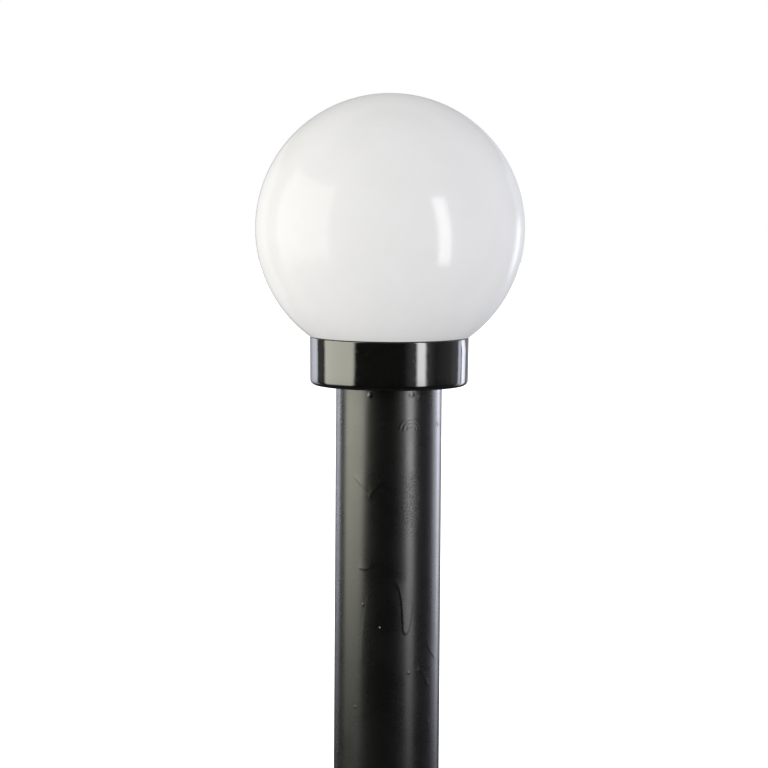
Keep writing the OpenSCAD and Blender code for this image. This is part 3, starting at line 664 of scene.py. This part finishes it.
grit_share = math_node(tree, "MULTIPLY_ADD", patch, grit_in_patch, grit_everywhere)
grit = math_node(tree, "MULTIPLY", grit, grit_share)
bump = add_bump(tree, peel_relief, peel["Height"])
bump = add_bump(tree, grit_relief, grit, Normal=bump)
end_material(tree, output, {"Base Color": tint, "Roughness": rough, "IOR": paint_ior, "Normal": bump})
post = add_piece("post_painted", [(wall, wall_faces)], post_paint)
take_place(post, "post_tube")


# End disc, collar seal and collar screws
# A thick disc welded into the top of the post, with a thin rubber seal on it under the collar.
# Three zinc plated screws with washers hold the collar down on to it.
zinc = finish("zinc plated steel", ((0.52, 0.52, 0.50), (0.66, 0.66, 0.63)), (0.26, 0.40), 0.002, 0.000004,
              metallic=1.0)
dress(zinc, "zinc_steel", "end_disc", "collar_screws", "collar_washers")
rubber = finish("black rubber", ((0.010, 0.010, 0.010), (0.022, 0.022, 0.021)), (0.50, 0.68), 0.002, 0.00001)
dress(rubber, "rubber", "collar_seal")


# Collar cup
# A deep cup moulded in glossy black plastic, with three tabs inside that hold the lugs of the globe.
# It is screwed down through its floor on to the end of the post.
cup_plastic = finish("black cup plastic", ((0.0055, 0.0055, 0.005), (0.007, 0.007, 0.0065)), (0.05, 0.12),
                     0.003, 0.000009, ior=2.0, dusty=0.25)
fair_copy("collar_cup", "collar_glossy", cup_plastic, light=cup_pieces)


# Cable grommet
# A black rubber ring in the floor of the cup, closed by a thin skin that the supply cable is pushed
# through. It stops the edge of the hole from cutting the cable.
fair_copy("cable_grommet", "grommet_moulded", rubber)


# Lamp bracket
# A zinc plated steel strip bent up over the floor of the cup, with two screws through its feet.
# It carries the lamp holder on its bridge and the earth screw on its longer foot.
fair_copy("lamp_bracket", "bracket_bent", zinc)
dress(zinc, "zinc_steel", "bracket_screws")


# Lamp holder
# A glazed porcelain body with a brass screw shell, a springy bronze contact at the bottom and two brass
# terminals at the back. Two long screws hold it on the bridge of the bracket.
porcelain = finish("glazed porcelain", ((0.78, 0.76, 0.71), (0.84, 0.82, 0.77)), (0.12, 0.20), 0.006,
                   0.000006, dusty=0.06, coat=0.6)
fair_copy("holder_body", "holder_glazed", porcelain)
brass = finish("turned brass", ((0.72, 0.50, 0.21), (0.82, 0.60, 0.28)), (0.22, 0.36), 0.0015, 0.000003,
               metallic=1.0)
bronze = finish("spring bronze", ((0.58, 0.33, 0.17), (0.70, 0.42, 0.24)), (0.25, 0.40), 0.0012, 0.000002,
                metallic=1.0)
dress(zinc, "zinc_steel", "holder_screws")
dress(brass, "brass", "shell_screws", "holder_terminals", "holder_terminal_screws")
dress(bronze, "bronze", "centre_contact")
fair_copy("screw_shell", "shell_drawn", brass, crease=25)


# Lamp
# A round opal lamp with a rolled screw cap, drawn as one closed piece. Its cap has the coarse round
# thread that fits the shell, a ring of black glass below it and a soldered contact at the tip.
lamp_low, lamp_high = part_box("lamp")
tip = lamp_low.z
bulb_radius = 0.030
bulb_middle = lamp_high.z - bulb_radius
cap_radius = 0.01305
cap_from = tip + 0.004
cap_to = tip + 0.0225
thread_pitch = 0.00363
thread_depth = 0.0006
thread_runout = 0.0015
thread_rows = 75
lamp_columns = 96
flare_radius = 0.040
flare_axis = 0.0146 + flare_radius
flare_level = bulb_middle - ((bulb_radius + flare_radius) ** 2 - flare_axis**2) ** 0.5

meet = np.arctan2(bulb_middle - flare_level, flare_axis)
bow = np.linspace(0, meet, 12)
flare = np.stack((flare_axis - flare_radius * np.cos(bow), flare_level + flare_radius * np.sin(bow)), -1)
bow = np.linspace(-meet, pi / 2, 40)[1:]
bulb = np.stack((bulb_radius * np.cos(bow), bulb_middle + bulb_radius * np.sin(bow)), -1)
screw = np.linspace(cap_from, cap_to, thread_rows)
profile = np.concatenate((
    [(0.0, tip), (0.0047, tip), (0.0047, tip + 0.0008), (0.0055, tip + 0.0008), (0.011, tip + 0.004)],
    np.stack((np.full(thread_rows, cap_radius), screw), -1),
    [(0.0132, tip + 0.0233), (0.0132, tip + 0.024), (0.0146, tip + 0.028)],
    flare,
    bulb,
))
angles = full_turn(lamp_columns)
radius, height = profile.T[..., None]
# The thread rises one pitch a turn to the right, and runs out over a millimetre and a half at both ends
wave = 0.5 - 0.5 * np.cos(2 * pi * (height - cap_from) / thread_pitch - angles)
runout = smooth_step((height - cap_from) / thread_runout) * smooth_step((cap_to - height) / thread_runout)
radius = radius - thread_depth * wave * runout
lamp_wall = turned(radius, angles, height).reshape(-1, 3)
lamp_faces = grid_faces(len(profile), lamp_columns, close_columns=True)

# From the tip up: solder, black glass ring, nickelled cap, opal glass
solder_to = tip + 0.0007
ring_to = tip + 0.0039
glass_from = tip + 0.0236
solder_colour = (0.55, 0.55, 0.54)
ring_colour = (0.012, 0.011, 0.014)
cap_colours = ((0.60, 0.59, 0.56), (0.70, 0.69, 0.66))
glass_colour = (0.86, 0.86, 0.84)

lamp_glass, tree, output, place = start_material("opal lamp and cap")
level = add_node(tree, "ShaderNodeSeparateXYZ", {"Vector": place}).outputs["Z"]
mottle = use_group(tree, grain, {"Place": place, "Size": 0.003})
on_glass = math_node(tree, "GREATER_THAN", level, glass_from)
on_ring = math_node(tree, "LESS_THAN", level, ring_to)
on_solder = math_node(tree, "LESS_THAN", level, solder_to)
tint = blend(tree, mottle["Tone"], *cap_colours)
tint = blend(tree, on_ring, tint, ring_colour)
tint = blend(tree, on_solder, tint, solder_colour)
tint = blend(tree, on_glass, tint, glass_colour)
metal = math_node(tree, "MAXIMUM", math_node(tree, "SUBTRACT", 1.0, on_ring), on_solder)
metal = math_node(tree, "MULTIPLY", metal, math_node(tree, "SUBTRACT", 1.0, on_glass))
rough = math_node(tree, "MULTIPLY_ADD", mottle["Tone"], 0.08, 0.20)
bump = add_bump(tree, 0.000003, mottle["Height"])
end_material(tree, output, {
    "Base Color": tint, "Roughness": rough, "Metallic": metal, "IOR": 1.5, "Normal": bump,
})
lamp = add_piece("lamp_threaded", [(lamp_wall, lamp_faces)], lamp_glass)
take_place(lamp, "lamp")


# Terminal block and leads
# A block of white plastic with brass clamps, screwed to the floor of the cup. Insulated copper leads
# run from it to the holder and the earth screw: brown, blue, and green striped with yellow.
block_plastic = finish("white terminal plastic", ((0.70, 0.69, 0.65), (0.76, 0.75, 0.71)), (0.30, 0.42),
                       0.003, 0.000008, ior=1.53)
fair_copy("terminal_block", "block_moulded", block_plastic)
dress(brass, "brass", "terminal_barrels", "terminal_screws")
dress(zinc, "zinc_steel", "block_screws")
brown = finish("brown insulation", ((0.13, 0.045, 0.02), (0.17, 0.06, 0.028)), (0.34, 0.44), 0.002, 0.000004)
blue = finish("blue insulation", ((0.015, 0.075, 0.36), (0.022, 0.10, 0.45)), (0.34, 0.44), 0.002, 0.000004)
dress(brown, "lead_brown", "lead_live")
dress(blue, "lead_blue", "lead_neutral")

# The yellow stripe lies along the upper side of the green lead
green_colours = ((0.015, 0.20, 0.035), (0.022, 0.26, 0.05))
yellow_colour = (0.72, 0.56, 0.04)
stripe_edge = (0.35, 0.45)

green, tree, output, place = start_material("green and yellow insulation")
mottle = use_group(tree, grain, {"Place": place, "Size": 0.002})
facing = tree.nodes.new("ShaderNodeNewGeometry").outputs["Normal"]
upwards = add_node(tree, "ShaderNodeSeparateXYZ", {"Vector": facing}).outputs["Z"]
stripe = ramp(tree, upwards, *stripe_edge)
tint = blend(tree, mottle["Tone"], *green_colours)
tint = blend(tree, stripe, tint, yellow_colour)
rough = math_node(tree, "MULTIPLY_ADD", mottle["Tone"], 0.1, 0.34)
bump = add_bump(tree, 0.000004, mottle["Height"])
end_material(tree, output, {"Base Color": tint, "Roughness": rough, "Normal": bump})
dress(green, "lead_green", "lead_earth")


# Earth screw
# A brass screw and washer on the long foot of the bracket, with a tinned copper tag on the end of the
# green and yellow lead clamped under them.
tinned = finish("tinned copper", ((0.68, 0.67, 0.64), (0.80, 0.79, 0.76)), (0.20, 0.32), 0.0015, 0.000003,
                metallic=1.0)
dress(tinned, "tinned_copper", "earth_tag")
dress(brass, "brass", "earth_washer", "earth_screw")


# Globe seal
# A flat rubber ring in the rebate of the rim, squeezed by the shoulder of the globe to keep rain out.
dress(rubber, "rubber", "globe_seal")


# Globe
# Blown from opal plastic with a wall of 2.5 mm, white all through and glossy on the outside.
# Three lugs on its neck turn under the tabs of the cup and draw its shoulder down on to the seal.
globe_low, globe_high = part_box("globe")
globe_spare = 0.00002
globe_radius = min(globe_high.x - globe_low.x, globe_high.y - globe_low.y) / 2 - globe_spare
globe_wall = 0.0025
globe_middle = globe_high.z - globe_radius
globe_columns = 192
shoulder_radius = 0.0609
shoulder_height = 0.6173
neck_radius = 0.049
neck_foot = globe_low.z
mouth_radius = 0.0572
lug_radius = 0.0536
lug_root = neck_radius - 0.001
lug_foot = 0.5990
lug_thick = 0.0037
lug_arc = 30
lug_turn = 2.6
lug_columns = 25

bend = np.linspace(0, pi / 2 + np.arccos(shoulder_radius / globe_radius), 120)
outer = np.stack((globe_radius * np.sin(bend), globe_middle + globe_radius * np.cos(bend)), -1)
neck = np.array([
    (neck_radius, shoulder_height),
    (neck_radius, neck_foot),
    (neck_radius - globe_wall, neck_foot),
    (neck_radius - globe_wall, shoulder_height + globe_wall),
])
hollow = globe_radius - globe_wall
bend = np.linspace(pi / 2 + np.arccos(mouth_radius / hollow), 0, 50)
inner = np.stack((hollow * np.sin(bend), globe_middle + hollow * np.cos(bend)), -1)
profile = np.concatenate((outer, neck, inner))[::-1]
blown = lathe(profile, full_turn(globe_columns)).reshape(-1, 3)
patches = [(blown, grid_faces(len(profile), globe_columns, close_columns=True))]
# Each lug is the arc of a bar of four corners, with its root inside the wall of the neck
bar = np.array([
    (lug_root, lug_foot),
    (lug_radius, lug_foot),
    (lug_radius, lug_foot + lug_thick),
    (lug_root, lug_foot + lug_thick),
])
first_end = np.arange(len(bar)) * lug_columns
last_end = first_end + lug_columns - 1
lug_faces = np.concatenate((grid_faces(len(bar), lug_columns, True), [first_end, last_end[::-1]]))
for middle in (90, 210, 330):
    start = radians(middle - lug_arc / 2 + lug_turn)
    lug = lathe(bar, start + np.linspace(0, radians(lug_arc), lug_columns)).reshape(-1, 3)
    patches.append((lug, lug_faces))

opal = finish("opal plastic", ((0.795, 0.795, 0.79), (0.81, 0.81, 0.81)), (0.10, 0.14), 0.03, 0.00003,
              ior=1.45)
globe = add_piece("globe_opal", patches, opal)
take_place(globe, "globe", white_pieces)
